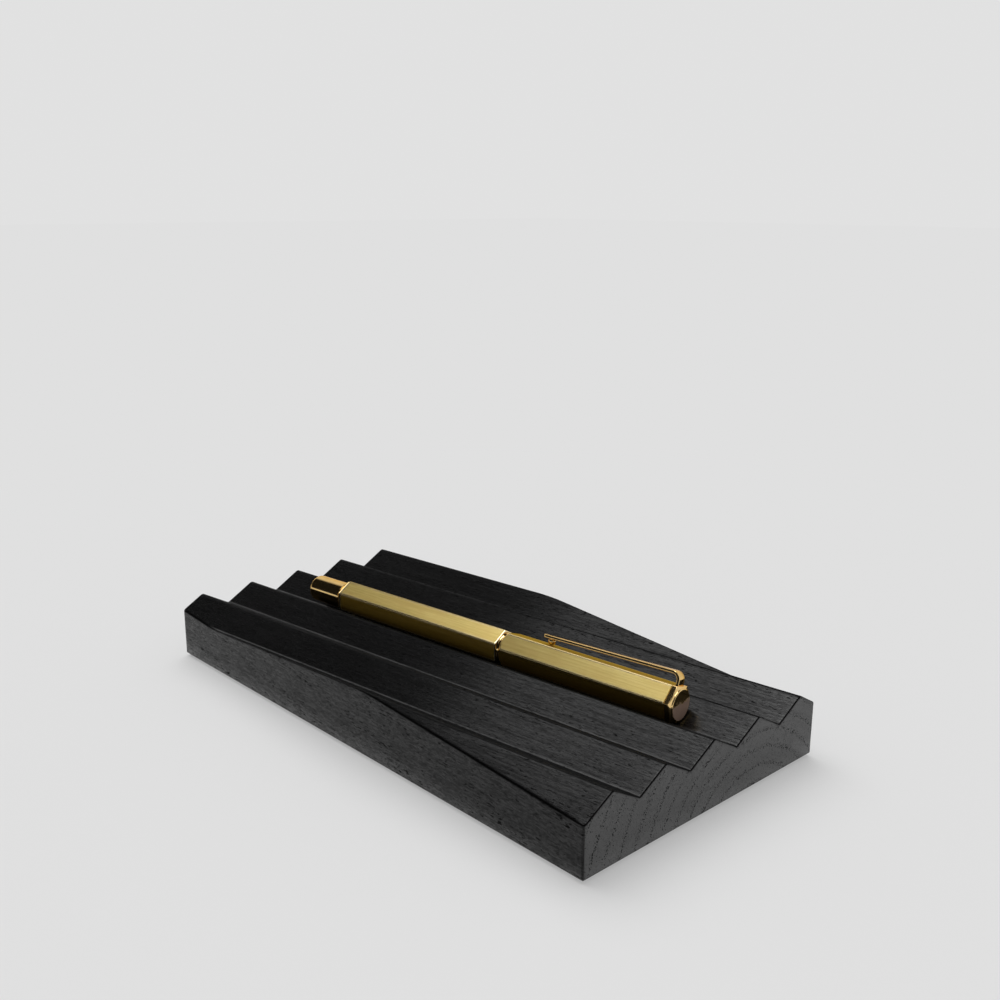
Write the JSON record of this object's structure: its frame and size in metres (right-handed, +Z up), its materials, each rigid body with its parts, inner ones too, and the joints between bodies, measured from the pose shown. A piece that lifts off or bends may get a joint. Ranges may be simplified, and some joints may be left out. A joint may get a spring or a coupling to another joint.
{
  "type": "pen rest",
  "caption": "Low black wooden pen rest with slanting V grooves; a capped hexagonal brass fountain pen with a ball-tipped clip lies in the middle groove.",
  "frame": {"origin": "middle of the block's footprint, on the surface it stands on", "axes": "+X along the block's long side, +Y across it to the back, +Z up; the grooves and the pen are turned 6.6 degrees from +X towards +Y"},
  "size_m": [0.18, 0.091, 0.0293],
  "materials": {
    "stained_wood": "black-stained open-pored hardwood, oiled matt",
    "felt": "pressed wool felt",
    "satin_brass": "brushed lengthwise, satin",
    "bright_brass": "polished",
    "steel": "bright rolled",
    "black_plastic": "moulded, glossy",
    "clear_plastic": "clear moulded",
    "rubber": "matt"
  },
  "bodies": {
    "rest": {"rest_block": "stained_wood", "foot_pad_left_front": "felt", "foot_pad_left_back": "felt", "foot_pad_right_front": "felt", "foot_pad_right_back": "felt"},
    "pen_core": {"section_grip": "black_plastic", "centre_ring": "bright_brass", "section_seal_ring": "rubber", "nib_collar": "black_plastic", "feed": "black_plastic", "nib": "steel", "converter_mouth": "steel", "converter_tube": "clear_plastic", "converter_band": "steel"},
    "cap": {"cap_shell": "satin_brass", "cap_end_plate": "bright_brass", "cap_bush": "bright_brass", "cap_liner": "black_plastic", "cap_grip_sleeve": "steel"},
    "clip": {"clip": "bright_brass", "clip_ball": "bright_brass"},
    "barrel": {"barrel_shell": "satin_brass", "barrel_insert": "bright_brass", "tail_piece": "bright_brass"},
    "filler_knob": {"converter_knob": "black_plastic"},
    "piston": {"converter_rod": "steel", "converter_piston": "rubber"}
  },
  "joints": [
    {"name": "pen_lift", "type": "slide", "parent": "rest", "child": "pen_core", "axis": [0, 0, 1], "range_m": [0, 0.06]},
    {"name": "cap_pull", "type": "slide", "parent": "pen_core", "child": "cap", "axis": [0.9934, 0.1149, 0], "range_m": [0, 0.06]},
    {"name": "barrel_pull", "type": "slide", "parent": "pen_core", "child": "barrel", "axis": [-0.9934, -0.1149, 0], "range_m": [0, 0.075]},
    {"name": "clip_spring", "type": "hinge", "parent": "cap", "child": "clip", "pos_m": [0.07175, 0.00959, 0.02482], "axis": [-0.1093, 0.9448, -0.309], "range_deg": [0, 3], "stiffness_Nm_per_rad": 2},
    {"name": "knob_turn", "type": "hinge", "parent": "pen_core", "child": "filler_knob", "pos_m": [-0.03973, -0.0046, 0.02088], "axis": [0.9934, 0.1149, 0], "range_deg": [0, 1830]},
    {"name": "piston_draw", "type": "slide", "parent": "pen_core", "child": "piston", "axis": [-0.9934, -0.1149, 0], "range_m": [0, 0.02]}
  ],
  "couplings": [
    {"joint": "knob_turn", "follows": "piston_draw", "rad_per_m": 1570.8}
  ]
}
